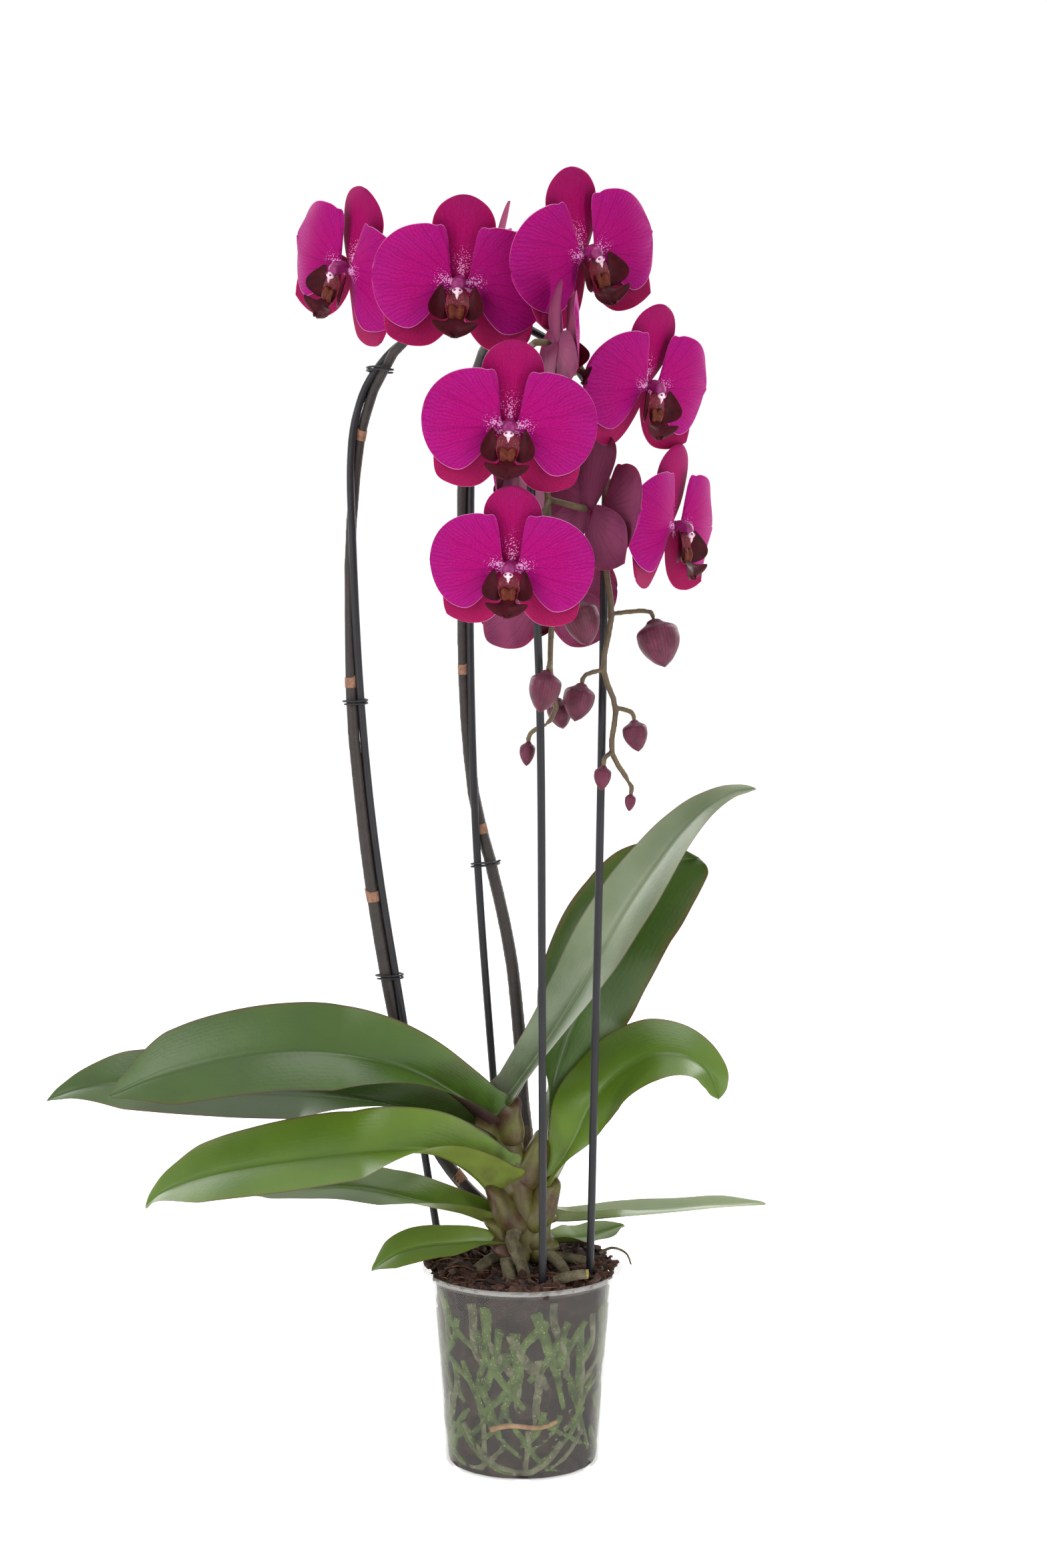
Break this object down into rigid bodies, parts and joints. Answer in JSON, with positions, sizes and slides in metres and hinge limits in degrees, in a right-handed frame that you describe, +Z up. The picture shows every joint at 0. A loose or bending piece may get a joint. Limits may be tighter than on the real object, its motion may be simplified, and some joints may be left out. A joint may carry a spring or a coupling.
{
  "type": "potted moth orchid",
  "caption": "Two-stem moth orchid in a clear nursery pot of bark, its flower spikes clipped to two wire hoops; stands by itself.",
  "frame": {"origin": "centre of the underside of the pot, on the surface it stands on", "axes": "+Z up through the plant; -Y is the front, the side most of the flowers face; +X is to the right of someone looking at the front"},
  "size_m": [0.434, 0.2241, 0.7625],
  "materials": {
    "clear_pot": "clear, faintly smoky, moulded",
    "bark_chips": "rough, dry",
    "orchid_root": "matt, mottled",
    "coated_wire": "satin plastic coat",
    "clip_wire": "satin",
    "flower_spike": "smooth, slightly waxy",
    "crown_sheaths": "smooth, waxy",
    "leaf": "waxy, slightly glossy",
    "petals": "velvety",
    "lip": "waxy",
    "bud": "waxy"
  },
  "bodies": {
    "root": {"bark_mix": "bark_chips", "bud_1": "bud", "bud_2": "bud", "bud_3": "bud", "bud_4": "bud", "bud_5": "bud", "bud_6": "bud", "bud_7": "bud", "bud_8": "bud", "bud_9": "bud", "clip_inner_low": "clip_wire", "clip_outer_low": "clip_wire", "clip_outer_middle": "clip_wire", "clip_outer_top": "clip_wire", "crown": "crown_sheaths", "flower_10_lip": "lip", "flower_10_tepals": "petals", "flower_11_lip": "lip", "flower_11_tepals": "petals", "flower_12_lip": "lip", "flower_12_tepals": "petals", "flower_1_lip": "lip", "flower_1_tepals": "petals", "flower_2_lip": "lip", "flower_2_tepals": "petals", "flower_3_lip": "lip", "flower_3_tepals": "petals", "flower_4_lip": "lip", "flower_4_tepals": "petals", "flower_5_lip": "lip", "flower_5_tepals": "petals", "flower_6_lip": "lip", "flower_6_tepals": "petals", "flower_7_lip": "lip", "flower_7_tepals": "petals", "flower_8_lip": "lip", "flower_8_tepals": "petals", "flower_9_lip": "lip", "flower_9_tepals": "petals", "leaf_left_1": "leaf", "leaf_left_2": "leaf", "leaf_left_3": "leaf", "leaf_left_4": "leaf", "leaf_left_5": "leaf", "leaf_right_1": "leaf", "leaf_right_2": "leaf", "leaf_right_3": "leaf", "leaf_right_4": "leaf", "leaf_right_5": "leaf", "pot": "clear_pot", "root_far_right": "orchid_root", "root_front_centre": "orchid_root", "root_front_left": "orchid_root", "root_left": "orchid_root", "root_right": "orchid_root", "spike_inner": "flower_spike", "spike_outer": "flower_spike", "stake_inner": "coated_wire", "stake_outer": "coated_wire", "wall_roots": "orchid_root"}
  },
  "joints": []
}
